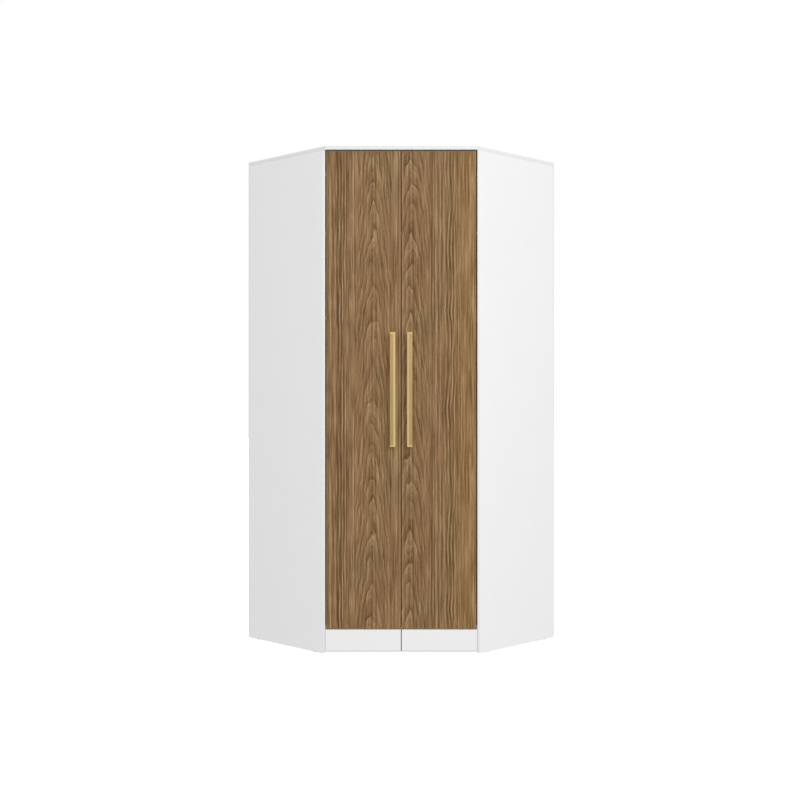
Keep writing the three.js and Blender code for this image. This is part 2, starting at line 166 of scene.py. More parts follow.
# The floor glows, so that it stays white
floorPaint, _, floorShader, _ = newMaterial("whiteStudioFloor")
floorShader.inputs["Base Color"].default_value = linear(studio["floorColour"])
floorShader.inputs["Roughness"].default_value = studio["floorRoughness"]
floorShader.inputs["Specular IOR Level"].default_value = 0
floorShader.inputs["Emission Color"].default_value = (1, 1, 1, 1)
floorShader.inputs["Emission Strength"].default_value = studio["floorGlow"]
floorMesh = bpy.data.meshes.new("floor")
half = studio["floorSize"] / 2
low = -studio["floorDrop"]
floorMesh.from_pydata(
    [(-half, -half, low), (half, -half, low), (half, half, low), (-half, half, low)], [], [(0, 1, 2, 3)])
floorMesh.materials.append(floorPaint)
floor = bpy.data.objects.new("floor", floorMesh)
bpy.context.scene.collection.objects.link(floor)
floor.visible_diffuse = False  # the room lights and mirrors in the object instead
floor.visible_glossy = False
print("stage: camera, room, lamps and floor")


# Melamine-faced chipboard, pressed against a pearled steel plate: an even white with a fine orange peel
whiteBoardLook = {
    "colour": "#eeeeee", "dull": "#ededed", "cloud": 160, "roughness": 0.45, "glossSpread": 0.05,
    "pearl": 1.6, "relief": 0.02,
}


def whiteMelamine():
    material, tree, shader, place = newMaterial("whiteMelamine")
    clouds = addNode(tree, "ShaderNodeTexNoise", {
        "Vector": stretched(tree, place, [whiteBoardLook["cloud"]] * 3), "Scale": 1, "Detail": 2})
    tone = rampStops(addNode(tree, "ShaderNodeValToRGB", [clouds]), [
        (0.3, whiteBoardLook["dull"]), (0.7, whiteBoardLook["colour"])])
    tree.links.new(tone.outputs[0], shader.inputs["Base Color"])
    pearl = addNode(tree, "ShaderNodeTexNoise", {  # real pearls are near 0.5 mm, drawn coarser to show
        "Vector": stretched(tree, place, [whiteBoardLook["pearl"]] * 3), "Scale": 1, "Detail": 1})
    roughness, spread = whiteBoardLook["roughness"], whiteBoardLook["glossSpread"]
    sheen = addNode(tree, "ShaderNodeMapRange", [pearl, 0.3, 0.7, roughness - spread, roughness + spread])
    tree.links.new(sheen.outputs[0], shader.inputs["Roughness"])
    bump = addNode(tree, "ShaderNodeBump", {
        "Height": pearl, "Distance": whiteBoardLook["relief"] * mm, "Strength": 0.5})
    tree.links.new(bump.outputs[0], shader.inputs["Normal"])
    return material


# ABS edging, extruded and buffed: smoother and a touch greyer than the faces
whiteEdgingLook = {"colour": "#e8e8e8", "dull": "#e2e3e3", "streak": (2, 2, 60), "roughness": (0.28, 0.38)}


def whiteEdging():
    material, tree, shader, place = newMaterial("whiteAbsEdging")
    streaks = addNode(tree, "ShaderNodeTexNoise", {
        "Vector": stretched(tree, place, whiteEdgingLook["streak"]), "Scale": 1, "Detail": 2})
    tone = rampStops(addNode(tree, "ShaderNodeValToRGB", [streaks]), [
        (0.3, whiteEdgingLook["dull"]), (0.7, whiteEdgingLook["colour"])])
    tree.links.new(tone.outputs[0], shader.inputs["Base Color"])
    sheen = addNode(tree, "ShaderNodeMapRange", [streaks, 0.3, 0.7, *whiteEdgingLook["roughness"]])
    tree.links.new(sheen.outputs[0], shader.inputs["Roughness"])
    return material


# Sawn chipboard edge: pressed chips 2 to 5 mm long in tan and brown, rough, with small gaps darkened by
# painted shade
chipboardLook = {
    "chip": (4, 4, 2.2), "gap": (1.2, 1.2, 0.9), "gapSpan": (0.36, 0.46), "gapShade": 0.45,
    "roughness": 0.9, "relief": 0.3,
    "tones": [(0.0, "#8a6b45"), (0.3, "#a98a5e"), (0.65, "#c2a57a"), (1.0, "#d3bb92")],
}


def rawChipboard():
    material, tree, shader, place = newMaterial("sawnChipboard")
    chips = addNode(tree, "ShaderNodeTexVoronoi", {
        "Vector": stretched(tree, place, chipboardLook["chip"]), "Scale": 1, "Randomness": 1})
    shade = addNode(tree, "ShaderNodeSeparateColor", [chips.outputs["Color"]])
    tone = rampStops(addNode(tree, "ShaderNodeValToRGB", [shade]), chipboardLook["tones"])
    gaps = addNode(tree, "ShaderNodeTexNoise", {
        "Vector": stretched(tree, place, chipboardLook["gap"]), "Scale": 1, "Detail": 2})
    # painted shade: the gaps between chips are darkened in the colour
    depth = addNode(tree, "ShaderNodeMapRange", [
        gaps, *chipboardLook["gapSpan"], chipboardLook["gapShade"], 1], interpolation_type="SMOOTHSTEP")
    colour = addNode(tree, "ShaderNodeMix", {
        "Factor": 1.0, 6: tone, 7: depth}, data_type="RGBA", blend_type="MULTIPLY")
    tree.links.new(colour.outputs[2], shader.inputs["Base Color"])
    shader.inputs["Roughness"].default_value = chipboardLook["roughness"]
    bump = addNode(tree, "ShaderNodeBump", {
        "Height": depth, "Distance": chipboardLook["relief"] * mm, "Strength": 0.6})
    tree.links.new(bump.outputs[0], shader.inputs["Normal"])
    return material


# Hardboard 3 mm thick: white lacquer on the inside, bare brown fibres on the wall side
hardboardLook = {
    "lacquer": "#ebebe8", "lacquerFrom": (0.66, 0.69), "fibre": 2.5, "cloud": (90, 90, 140),
    "cloudShare": 0.3, "tones": [(0.3, "#7a5f45"), (0.5, "#8c6f53"), (0.7, "#9f8264")],
    "roughness": {"bare": 0.85, "lacquered": 0.45}, "relief": 0.15,
}


def backHardboard():
    material, tree, shader, place = newMaterial("lacqueredHardboard")
    facing = addNode(tree, "ShaderNodeTexCoord").outputs["Normal"]
    towardsRoom = addNode(
        tree, "ShaderNodeVectorMath", [facing, (0, -1, 0)], operation="DOT_PRODUCT").outputs["Value"]
    lacquered = addNode(tree, "ShaderNodeMapRange", [towardsRoom, *hardboardLook["lacquerFrom"], 0, 1])
    fibres = addNode(tree, "ShaderNodeTexNoise", {
        "Vector": stretched(tree, place, [hardboardLook["fibre"]] * 3), "Scale": 1, "Detail": 5,
        "Roughness": 0.7, "Distortion": 1.5})
    clouds = addNode(tree, "ShaderNodeTexNoise", {
        "Vector": stretched(tree, place, hardboardLook["cloud"]), "Scale": 1, "Detail": 3})
    mixed = addNode(tree, "ShaderNodeMix", {
        "Factor": hardboardLook["cloudShare"], 2: fibres, 3: clouds}, data_type="FLOAT")
    bare = rampStops(addNode(tree, "ShaderNodeValToRGB", [mixed]), hardboardLook["tones"])
    white = addNode(tree, "ShaderNodeRGB")
    white.outputs[0].default_value = linear(hardboardLook["lacquer"])
    colour = addNode(tree, "ShaderNodeMix", {"Factor": lacquered, 6: bare, 7: white}, data_type="RGBA")
    tree.links.new(colour.outputs[2], shader.inputs["Base Color"])
    roughness = hardboardLook["roughness"]
    sheen = addNode(tree, "ShaderNodeMapRange", [lacquered, 0, 1, roughness["bare"], roughness["lacquered"]])
    tree.links.new(sheen.outputs[0], shader.inputs["Roughness"])
    bump = addNode(tree, "ShaderNodeBump", {
        "Height": fibres, "Distance": hardboardLook["relief"] * mm, "Strength": 0.4})
    tree.links.new(bump.outputs[0], shader.inputs["Normal"])
    return material


# Printed oak laminate with embossed pores: nested arches down the middle of a flat-sawn figure, straight
# grain beside them, and one wavy cluster of dark lines. Sizes in millimetres from the middle of the
# wardrobe and from the floor. The print repeats once a turn of its roller.
oakPrint = {
    "repeat": 1290, "archWidth": 44, "archPitch": 117.3, "sidePitch": 12.6, "archWarp": 1.7,
    "figureHalf": 60, "figureFade": 26, "figureForce": 0.4, "fineForce": 0.22, "calm": 0.4,
    "straightPitch": 13, "straightForce": 0.2, "linePitch": 14.4, "lineReach": 19, "fineLines": 3,
}
oakColours = [
    (0.00, "#5c4226"), (0.28, "#755a39"), (0.50, "#876b49"), (0.72, "#987c59"), (1.00, "#ae9370"),
]
leftOak = {
    "middle": -124, "lean": 6, "sway": 11, "cluster": -262, "clusterSway": 9, "gold": None, "seed": 3.0,
}
rightOak = {
    "middle": 40, "lean": 5, "sway": 11, "cluster": 213, "clusterSway": 16, "gold": (190, 300), "seed": 31.0,
}

# Noises of the print: width and length of a fleck, a shift of its own, and the detail where it isn't 2
oakNoises = {
    "sway": (400, 260, 0, 1), "archWarp": (44, 150, 7.3), "straightWarp": (60, 900, 12.1),
    "broadColumns": (9, 3000, 21.7), "narrowColumns": (6.5, 210, 33.4), "strength": (38, 90, 66.6, 1),
    "fibres": (2.6, 70, 41.9), "clouds": (55, 170, 48.3, 1), "clusterSway": (900, 170, 52.2, 1),
    "clusterForce": (60, 130, 61.5, 1), "pores": (0.7, 11, 77.7, 0), "drift": (26, 900, 88.1),
}
oakGains = {
    "straightWarp": 4.5, "broadColumns": 1.8, "narrowColumns": 1.35, "fibres": 1.0, "clouds": 0.4,
    "clusterShade": -0.12, "pores": -0.2, "gold": 0.1,
}
oakSpans = {  # a span of the noise or the shade, and the two values that its ends become
    "strength": (-0.15, 0.15, 0.35, 1.35), "clusterForce": (-0.12, 0.12, -0.2, -0.62),
    "pores": (0.13, 0.2, 0, 1), "drift": (-0.2, 0.2, 0, 1), "roughness": (0.3, 0.8, 0.66, 0.54),
}
oakTints = [(0.0, "#fff3ea"), (0.5, "#fdf7f0"), (1.0, "#f8f9ec")]
goldTint = "#fcf7e6"
oakGloss = {"specular": 0.3, "relief": 0.08, "reliefStrength": 0.4}
lineProfile = [
    (0.0, 0.0), (0.12, 0.05), (0.35, 0.45), (0.62, 0.75), (0.85, 1.0), (0.94, 0.8), (1.0, 0.0)]
lineMean = 0.55  # about the mean of the profile, taken off so that the lines keep the tone
middleShade = 0.5
leanPivot = 1146  # height at which the arches' middle has no lean


def oakLaminate(name, look):
    material, tree, shader, place = newMaterial(name)
    axes = addNode(tree, "ShaderNodeSeparateXYZ", [place])
    across = axes.outputs["X"]
    turn = addNode(tree, "ShaderNodeMath", [
        axes.outputs["Z"], 2 * math.pi / oakPrint["repeat"]], operation="MULTIPLY")
    cosine = addNode(tree, "ShaderNodeMath", [turn], operation="COSINE")
    sine = addNode(tree, "ShaderNodeMath", [turn], operation="SINE")
    roller = addNode(tree, "ShaderNodeCombineXYZ", [across, cosine, sine])
    rollerRadius = oakPrint["repeat"] / (2 * math.pi)

    def spreadNoise(width, length, shift, detail=2):  # from about -0.3 to 0.3
        sizes = (1 / width, rollerRadius / length, rollerRadius / length)
        spread = addNode(tree, "ShaderNodeVectorMath", [roller, sizes], operation="MULTIPLY")
        moved = addNode(tree, "ShaderNodeVectorMath", [
            spread, (look["seed"] + shift, 0, 0)], operation="ADD")
        noise = addNode(tree, "ShaderNodeTexNoise", {"Vector": moved, "Scale": 1, "Detail": detail})
        return addNode(tree, "ShaderNodeMath", [noise, 0.5], operation="SUBTRACT")

    def grain(name):
        return spreadNoise(*oakNoises[name])

    def added(total, *layers):  # total plus each layer times its gain
        for layer, gain in layers:
            total = addNode(tree, "ShaderNodeMath", [layer, gain, total], operation="MULTIPLY_ADD")
        return total

    def lines(phase):  # one line a turn: a sharp dark edge that fades off to a light one
        part = addNode(tree, "ShaderNodeMath", [phase], operation="FRACT")
        return rampStops(addNode(tree, "ShaderNodeValToRGB", [part]), lineProfile)

    lean = look["lean"] / 1000
    middle = added(
        look["middle"] - lean * leanPivot, (axes.outputs["Z"], lean), (grain("sway"), look["sway"]))
    beside = addNode(tree, "ShaderNodeMath", [across, middle], operation="SUBTRACT")
    distance = addNode(tree, "ShaderNodeMath", [beside], operation="ABSOLUTE")
    squared = addNode(tree, "ShaderNodeMath", [beside, beside, oakPrint["archWidth"] ** 2],
                      operation="MULTIPLY_ADD")
    bow = addNode(tree, "ShaderNodeMath", [squared], operation="SQRT")
    arches = added(0, (bow, 1 / oakPrint["sidePitch"]), (axes.outputs["Z"], 1 / oakPrint["archPitch"]),
                   (grain("archWarp"), oakPrint["archWarp"]))
    figure = addNode(tree, "ShaderNodeMapRange", [
        distance, oakPrint["figureHalf"] + oakPrint["figureFade"], oakPrint["figureHalf"], 0, 1],
        interpolation_type="SMOOTHSTEP")
    straight = added(
        0, (across, 1 / oakPrint["straightPitch"]), (grain("straightWarp"), oakGains["straightWarp"]))
    fineArches = addNode(tree, "ShaderNodeMath", [arches, oakPrint["fineLines"]], operation="MULTIPLY")
    archShare = added(
        -lineMean * (oakPrint["figureForce"] + oakPrint["fineForce"]),
        (lines(arches), oakPrint["figureForce"]), (lines(fineArches), oakPrint["fineForce"]))
    straightShare = added(
        -lineMean * oakPrint["straightForce"], (lines(straight), oakPrint["straightForce"]))
    columns = added(
        0, (grain("broadColumns"), oakGains["broadColumns"]),
        (grain("narrowColumns"), oakGains["narrowColumns"]))
    loudness = added(1, (figure, -oakPrint["calm"]))
    plain = addNode(tree, "ShaderNodeMix", {
        "Factor": figure, 2: straightShare, 3: archShare}, data_type="FLOAT")
    strength = addNode(tree, "ShaderNodeMapRange", [grain("strength"), *oakSpans["strength"]])
    bands = addNode(tree, "ShaderNodeMath", [plain, strength], operation="MULTIPLY")
    shade = added(
        middleShade, (bands, 1), (columns, loudness), (grain("fibres"), oakGains["fibres"]),
        (grain("clouds"), oakGains["clouds"]))

    clusterMiddle = added(look["cluster"], (grain("clusterSway"), 2 * look["clusterSway"]))
    fromCluster = addNode(tree, "ShaderNodeMath", [across, clusterMiddle], operation="SUBTRACT")
    wave = addNode(tree, "ShaderNodeMath", [
        fromCluster, 2 * math.pi / oakPrint["linePitch"]], operation="MULTIPLY")
    ripple = addNode(tree, "ShaderNodeMath", [wave], operation="COSINE")
    narrow = addNode(tree, "ShaderNodeMath", [
        fromCluster, 1 / oakPrint["lineReach"]], operation="MULTIPLY")
    square = addNode(tree, "ShaderNodeMath", [narrow, narrow], operation="MULTIPLY")
    falloff = addNode(tree, "ShaderNodeMath", [square, -1], operation="MULTIPLY")
    envelope = addNode(tree, "ShaderNodeMath", [falloff], operation="EXPONENT")
    force = addNode(tree, "ShaderNodeMapRange", [grain("clusterForce"), *oakSpans["clusterForce"]])
    strongRipple = addNode(tree, "ShaderNodeMath", [ripple, force], operation="MULTIPLY")
    # Pores are 0.2 mm wide in the real print, drawn three times as wide so that they show
    pores = addNode(tree, "ShaderNodeMapRange", [grain("pores"), *oakSpans["pores"]],
                    interpolation_type="SMOOTHSTEP")
    shade = added(
        shade, (envelope, strongRipple), (envelope, oakGains["clusterShade"]), (pores, oakGains["pores"]))
    if look["gold"]:
        golden = addNode(tree, "ShaderNodeMapRange", [
            across, *look["gold"], 0, 1], interpolation_type="SMOOTHSTEP")
        shade = added(shade, (golden, oakGains["gold"]))
    oak = rampStops(addNode(tree, "ShaderNodeValToRGB", [shade]), oakColours)
    drift = addNode(tree, "ShaderNodeMapRange", [grain("drift"), *oakSpans["drift"]])
    tint = rampStops(addNode(tree, "ShaderNodeValToRGB", [drift]), oakTints)
    tinted = addNode(tree, "ShaderNodeMix", {
        "Factor": 1.0, 6: oak, 7: tint}, data_type="RGBA", blend_type="MULTIPLY").outputs[2]
    if look["gold"]:
        tinted = addNode(tree, "ShaderNodeMix", {
            "Factor": golden, 6: tinted, 7: linear(goldTint)},
            data_type="RGBA", blend_type="MULTIPLY").outputs[2]
    tree.links.new(tinted, shader.inputs["Base Color"])
    sheen = addNode(tree, "ShaderNodeMapRange", [shade, *oakSpans["roughness"]])
    tree.links.new(sheen.outputs[0], shader.inputs["Roughness"])
    shader.inputs["Specular IOR Level"].default_value = oakGloss["specular"]
    bump = addNode(tree, "ShaderNodeBump", {
        "Height": shade, "Distance": oakGloss["relief"] * mm, "Strength": oakGloss["reliefStrength"]})
    tree.links.new(bump.outputs[0], shader.inputs["Normal"])
    return material


# ABS edging of the doors, 2 mm thick in the print's middle tone, with faint long streaks
brownEdgingLook = {"light": "#947655", "dark": "#86694a", "streak": (3, 3, 40), "roughness": 0.5}


def brownEdging():
    material, tree, shader, place = newMaterial("brownAbsEdging")
    streaks = addNode(tree, "ShaderNodeTexNoise", {
        "Vector": stretched(tree, place, brownEdgingLook["streak"]), "Scale": 1, "Detail": 3})
    tone = rampStops(addNode(tree, "ShaderNodeValToRGB", [streaks]), [
        (0.3, brownEdgingLook["dark"]), (0.7, brownEdgingLook["light"])])
    tree.links.new(tone.outputs[0], shader.inputs["Base Color"])
    shader.inputs["Roughness"].default_value = brownEdgingLook["roughness"]
    return material


# Anodised aluminium bar, brushed along its length before the champagne dye: long soft streaks
handleLook = {
    "light": "#eecf92", "dark": "#e6c788", "roughness": 0.34, "glossSpread": 0.06, "streak": (0.9, 0.9, 70),
    "relief": 0.02,
}


def champagneAluminium():
    material, tree, shader, place = newMaterial("champagneAnodisedAluminium")
    streaks = addNode(tree, "ShaderNodeTexNoise", {
        "Vector": stretched(tree, place, handleLook["streak"]), "Scale": 1, "Detail": 3})
    tone = rampStops(addNode(tree, "ShaderNodeValToRGB", [streaks]), [
        (0.3, handleLook["dark"]), (0.7, handleLook["light"])])
    tree.links.new(tone.outputs[0], shader.inputs["Base Color"])
    shader.inputs["Metallic"].default_value = 1
    roughness, spread = handleLook["roughness"], handleLook["glossSpread"]
    sheen = addNode(tree, "ShaderNodeMapRange", [streaks, 0.3, 0.7, roughness + spread, roughness - spread])
    tree.links.new(sheen.outputs[0], shader.inputs["Roughness"])
    bump = addNode(tree, "ShaderNodeBump", {
        "Height": streaks, "Distance": handleLook["relief"] * mm, "Strength": 0.5})
    tree.links.new(bump.outputs[0], shader.inputs["Normal"])
    return material


# Metals of the fittings: one plated finish each, with faint handling marks in the gloss
platedLooks = {
    "nickelPlatedSteel": {"light": "#c9c6bf", "dark": "#b4b0a8", "roughness": 0.28, "marks": 9},
    "chromedTube": {"light": "#e3e4e6", "dark": "#d6d8da", "roughness": 0.1, "marks": 30},
    "zincPlatedSteel": {"light": "#bfc3c6", "dark": "#a3a8ac", "roughness": 0.38, "marks": 3},
}
markGloss = (1.3, 0.8)  # share of the roughness in the dark and the light marks


def platedMetal(name):
    look = platedLooks[name]
    material, tree, shader, place = newMaterial(name)
    marks = addNode(tree, "ShaderNodeTexNoise", {
        "Vector": stretched(tree, place, [look["marks"]] * 3), "Scale": 1, "Detail": 4, "Roughness": 0.6})
    tone = rampStops(addNode(tree, "ShaderNodeValToRGB", [marks]), [
        (0.35, look["dark"]), (0.65, look["light"])])
    tree.links.new(tone.outputs[0], shader.inputs["Base Color"])
    shader.inputs["Metallic"].default_value = 1
    sheen = addNode(tree, "ShaderNodeMapRange", [
        marks, 0.35, 0.65, *[look["roughness"] * share for share in markGloss]])
    tree.links.new(sheen.outputs[0], shader.inputs["Roughness"])
    return material


# Plastics: moulded or extruded, with a fine matt grain from the tool
plasticLooks = {
    "whiteMouldedPlastic": {"light": "#efefed", "dark": "#e8e8e5", "roughness": 0.45},
    "greyMouldedPlastic": {"light": "#8f9194", "dark": "#838589", "roughness": 0.6},
    "clearBumper": {"light": "#dcdcd6", "dark": "#cfcfc8", "roughness": 0.25},
    # the sealing strip's grey is painted shade: the contact shadow along the plinth's foot
    "greySealingStrip": {"light": "#e2e2e2", "dark": "#dddddd", "roughness": 0.5},
}
plasticGrain = {"size": 0.7, "relief": 0.03}


def mouldedPlastic(name):
    look = plasticLooks[name]
    material, tree, shader, place = newMaterial(name)
    grain = addNode(tree, "ShaderNodeTexNoise", {
        "Vector": stretched(tree, place, [plasticGrain["size"]] * 3), "Scale": 1, "Detail": 2})
    tone = rampStops(addNode(tree, "ShaderNodeValToRGB", [grain]), [
        (0.3, look["dark"]), (0.7, look["light"])])
    tree.links.new(tone.outputs[0], shader.inputs["Base Color"])
    shader.inputs["Roughness"].default_value = look["roughness"]
    bump = addNode(tree, "ShaderNodeBump", {
        "Height": grain, "Distance": plasticGrain["relief"] * mm, "Strength": 0.4})
    tree.links.new(bump.outputs[0], shader.inputs["Normal"])
    return material


melamine = whiteMelamine()
edging = whiteEdging()
chipboard = rawChipboard()
hardboard = backHardboard()
oak = {-1: oakLaminate("oakLaminateLeft", leftOak), 1: oakLaminate("oakLaminateRight", rightOak)}
champagne = champagneAluminium()
nickel = platedMetal("nickelPlatedSteel")
chrome = platedMetal("chromedTube")
zinc = platedMetal("zincPlatedSteel")
whitePlastic = mouldedPlastic("whiteMouldedPlastic")
greyPlastic = mouldedPlastic("greyMouldedPlastic")
bumperPlastic = mouldedPlastic("clearBumper")
# painted shade: the grey of the strips stands in for the contact shadow at the plinth's foot
shadeStripPlastic = mouldedPlastic("greySealingStrip")
brownEdge = brownEdging()
print("stage: materials")


def finishNodes(finish, *endings):  # CAD nodes whose shape is right keep it and take the finish
    for nodeName, node in nodes.items():
        if nodeName.endswith(endings):
            node.data.materials.clear()
            node.data.materials.append(finish)


finishNodes(melamine, "_panel", "_shelf", "_board", "_batten", "_support")
finishNodes(hardboard, "sheet_inner", "sheet_outer")
finishNodes(whitePlastic, "joint_strip")
finishNodes(greyPlastic, "_glide")
finishNodes(champagne, "_handle")
finishNodes(chrome, "_rail", "_flange", "_hanger")
finishNodes(nickel, "_arm", "_link", "_cup", "screw_lower", "screw_upper")
for side, sideName in sideNames.items():
    finishNodes(oak[side], f"{sideName}_door")


# Pieces that take a node's shape with its edges eased, as edging, milling or pressing leaves them. Lengths
# are in millimetres and angles in degrees: edges below "flat" are dissolved, those over "corner" are eased,
# and faces that meet below "smooth" are shaded as one.
easing = {"weld": 0.005, "flat": 0.3, "corner": 25, "smooth": 32, "shortest": 30, "segments": 3}


def easedCopy(nodeName, pieceName, radius=0.0, shortest=easing["shortest"] * mm, smooth=False):
    shape = bmesh.new()
    shape.from_mesh(nodes[nodeName].data)
    bmesh.ops.remove_doubles(shape, verts=shape.verts, dist=easing["weld"] * mm)
    bmesh.ops.dissolve_limit(
        shape, angle_limit=math.radians(easing["flat"]), verts=shape.verts, edges=shape.edges)
    bmesh.ops.recalc_face_normals(shape, faces=shape.faces)
    if radius:
        corners = [
            edge for edge in shape.edges
            if edge.calc_length() >= shortest
            and edge.calc_face_angle(0) > math.radians(easing["corner"])]
        bmesh.ops.bevel(
            shape, geom=corners, offset=radius, offset_type="OFFSET", segments=easing["segments"],
            profile=0.5, affect="EDGES", clamp_overlap=True)
    mesh = bpy.data.meshes.new(pieceName)
    shape.to_mesh(mesh)
    shape.free()
    if smooth:
        mesh.shade_smooth()
        mesh.set_sharp_from_angle(angle=math.radians(easing["smooth"]))
    piece = bpy.data.objects.new(pieceName, mesh)
    bpy.context.scene.collection.objects.link(piece)
    return piece


# A polygon belongs to a face or a band of a board where its normal points that way by this share
facingShare = {"face": 0.8, "band": 0.6}


def paintBoard(piece, faceFinish, bandFinish, rawFinish, thicknessWay, bandWays):
    for finish in (faceFinish, bandFinish, rawFinish):
        piece.data.materials.append(finish)
    for polygon in piece.data.polygons:
        if abs(polygon.normal.dot(thicknessWay)) > facingShare["face"]:
            polygon.material_index = 0
        else:
            banded = any(polygon.normal.dot(way) > facingShare["band"] for way in bandWays)
            polygon.material_index = 1 if banded else 2


boardEdge = 0.7 * mm  # easing of the edging
upWay = Vector((0, 0, 1))
rightWay = Vector((1, 0, 0))
frontWay = Vector((0, -1, 0))
carcassBoards = {
    "topBoard": ("top_panel", upWay, [frontWay, alongWay(1), alongWay(-1)]),
    "bottomBoard": ("bottom_panel", upWay, [frontWay]),
    "hatShelfBoard": ("hat_shelf", upWay, [frontWay]),
    "leftSideBoard": ("left_side_panel", alongWay(-1), [inwardWay(-1)]),
    "rightSideBoard": ("right_side_panel", alongWay(1), [inwardWay(1)]),
    "leftPlinthBoard": ("left_plinth_board", frontWay, [rightWay, -rightWay, upWay]),
    "rightPlinthBoard": ("right_plinth_board", frontWay, [rightWay, -rightWay, upWay]),
    "plinthSupportBoard": ("plinth_centre_support", rightWay, []),
    "leftRearBaseBoard": ("left_rear_base_board", inwardWay(-1), []),
    "rightRearBaseBoard": ("right_rear_base_board", inwardWay(1), []),
}
for pieceName, (nodeName, thicknessWay, bandWays) in carcassBoards.items():
    piece = easedCopy(nodeName, pieceName, boardEdge)
    paintBoard(piece, melamine, edging, chipboard, thicknessWay, bandWays)
    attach(piece, "carcass")
    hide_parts(nodeName)


def edgeRing(piece, thickness, ringSlot):  # cuts a ring off the faces, as thick as the edging
    across = [vertex.co.x for vertex in piece.data.vertices]
    heights = [vertex.co.z for vertex in piece.data.vertices]
    innerLeft, innerRight = min(across) + thickness, max(across) - thickness
    innerLow, innerHigh = min(heights) + thickness, max(heights) - thickness
    shape = bmesh.new()
    shape.from_mesh(piece.data)
    for x, z in ((innerLeft, innerLow), (innerRight, innerHigh)):
        for cutPlace, cutWay in (((x, 0, 0), (1, 0, 0)), ((0, 0, z), (0, 0, 1))):
            bmesh.ops.bisect_plane(
                shape, geom=shape.verts[:] + shape.edges[:] + shape.faces[:], dist=1e-6,
                plane_co=cutPlace, plane_no=cutWay)
    for face in shape.faces:
        middle = face.calc_center_median()
        inside = innerLeft < middle.x < innerRight and innerLow < middle.z < innerHigh
        face.material_index = 0 if inside else ringSlot
    shape.to_mesh(piece.data)
    shape.free()


edgingThickness = 2 * mm
handleEasing = 0.35 * mm
shortestHandleEdge = 6 * mm
for side, sideName in sideNames.items():
    leaf = easedCopy(f"{sideName}_door", f"{sideName}DoorLeaf", boardEdge)
    leaf.data.materials.append(oak[side])
    leaf.data.materials.append(brownEdge)
    edgeRing(leaf, edgingThickness, 1)
    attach(leaf, f"{sideName}_leaf")
    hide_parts(f"{sideName}_door")
    bar = easedCopy(f"{sideName}_handle", f"{sideName}HandleBar", handleEasing, shortestHandleEdge)
    bar.data.materials.append(champagne)
    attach(bar, f"{sideName}_leaf")
    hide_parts(f"{sideName}_handle")
print("stage: boards, leaves and handles")


# Sealing strip: a soft channel pushed on to the foot of each plinth board, its grey painted shade for the
# contact shadow along the plinth's foot
stripLook = {
    "wall": 0.9, "rise": 7, "drop": 1, "board": 15, "pastLeaf": 3.6, "seamGap": 0.4, "shortestLip": 100,
}


def shadeSealingStrip(side, sideName):
    plinthLow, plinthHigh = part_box(f"{sideName}_plinth_board")
    leafLow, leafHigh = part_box(f"{sideName}_door")
    wall, rise, drop, depth, pastLeaf, seamGap = [
        stripLook[key] * mm for key in ("wall", "rise", "drop", "board", "pastLeaf", "seamGap")]
    front, back, foot = plinthLow.y, plinthLow.y + depth, plinthLow.z
    ends = sorted([
        (plinthHigh.x if side < 0 else plinthLow.x) + side * seamGap,
        (leafLow.x if side < 0 else leafHigh.x) + side * pastLeaf])
    section = [
        (front - wall, foot + rise), (front - wall, foot - drop), (back + wall, foot - drop),
        (back + wall, foot + rise), (back, foot + rise), (back, foot), (front, foot),
        (front, foot + rise)]
    shape = bmesh.new()
    rim = shape.faces.new([shape.verts.new((ends[0], y, z)) for y, z in section])
    run = bmesh.ops.extrude_face_region(shape, geom=[rim])["geom"]
    farEnd = [item for item in run if isinstance(item, bmesh.types.BMVert)]
    bmesh.ops.translate(shape, verts=farEnd, vec=(ends[1] - ends[0], 0, 0))
    bmesh.ops.recalc_face_normals(shape, faces=shape.faces)
    lips = [
        edge for edge in shape.edges
        if edge.calc_length() > stripLook["shortestLip"] * mm and min(v.co.y for v in edge.verts) < front]
    bmesh.ops.bevel(
        shape, geom=lips, offset=wall / 3, offset_type="OFFSET", segments=2, profile=0.5, affect="EDGES")
    mesh = bpy.data.meshes.new(f"{sideName}SealingStrip")
    shape.to_mesh(mesh)
    shape.free()
    mesh.materials.append(shadeStripPlastic)
    strip = bpy.data.objects.new(f"{sideName}SealingStrip", mesh)
    bpy.context.scene.collection.objects.link(strip)
    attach(strip, "carcass")


for side, sideName in sideNames.items():
    shadeSealingStrip(side, sideName)


# Fittings: the CAD shapes with their round faces smooth
fittings = {
    "_hanging_rail": ("carcass", chrome, "chrome_tube"),
    "_rail_flange": ("carcass", chrome, "chrome_tube"),
    "_rail_hanger": ("carcass", chrome, "chrome_tube"),
    "_arm": ("carcass", nickel, "nickel_steel"),
    "_link": ("{side}_links", nickel, "nickel_steel"),
    "_cup": ("{side}_leaf", nickel, "nickel_steel"),
    "_screw_lower": ("{side}_leaf", nickel, "nickel_steel"),
    "_screw_upper": ("{side}_leaf", nickel, "nickel_steel"),
    "_glide": ("carcass", greyPlastic, "grey_plastic"),
}
for nodeName in list(nodes):
    for ending, (body, finish, slotName) in fittings.items():
        if nodeName.endswith(ending):
            words = nodeName.split("_")
            pieceName = words[0] + "".join(word.capitalize() for word in words[1:])
            piece = easedCopy(nodeName, pieceName, smooth=True)
            piece.data.materials.append(finish)
            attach(piece, body.format(side=words[0]))
            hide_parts(nodeName)
print("stage: sealing strips and fittings")


# Fastener heads, one on each point of a mesh and turned to its "facing": a low dome, crossed or plain
crossRecess = {"length": 1.1, "width": 0.28}  # in radii of the head, to each blade's two sides


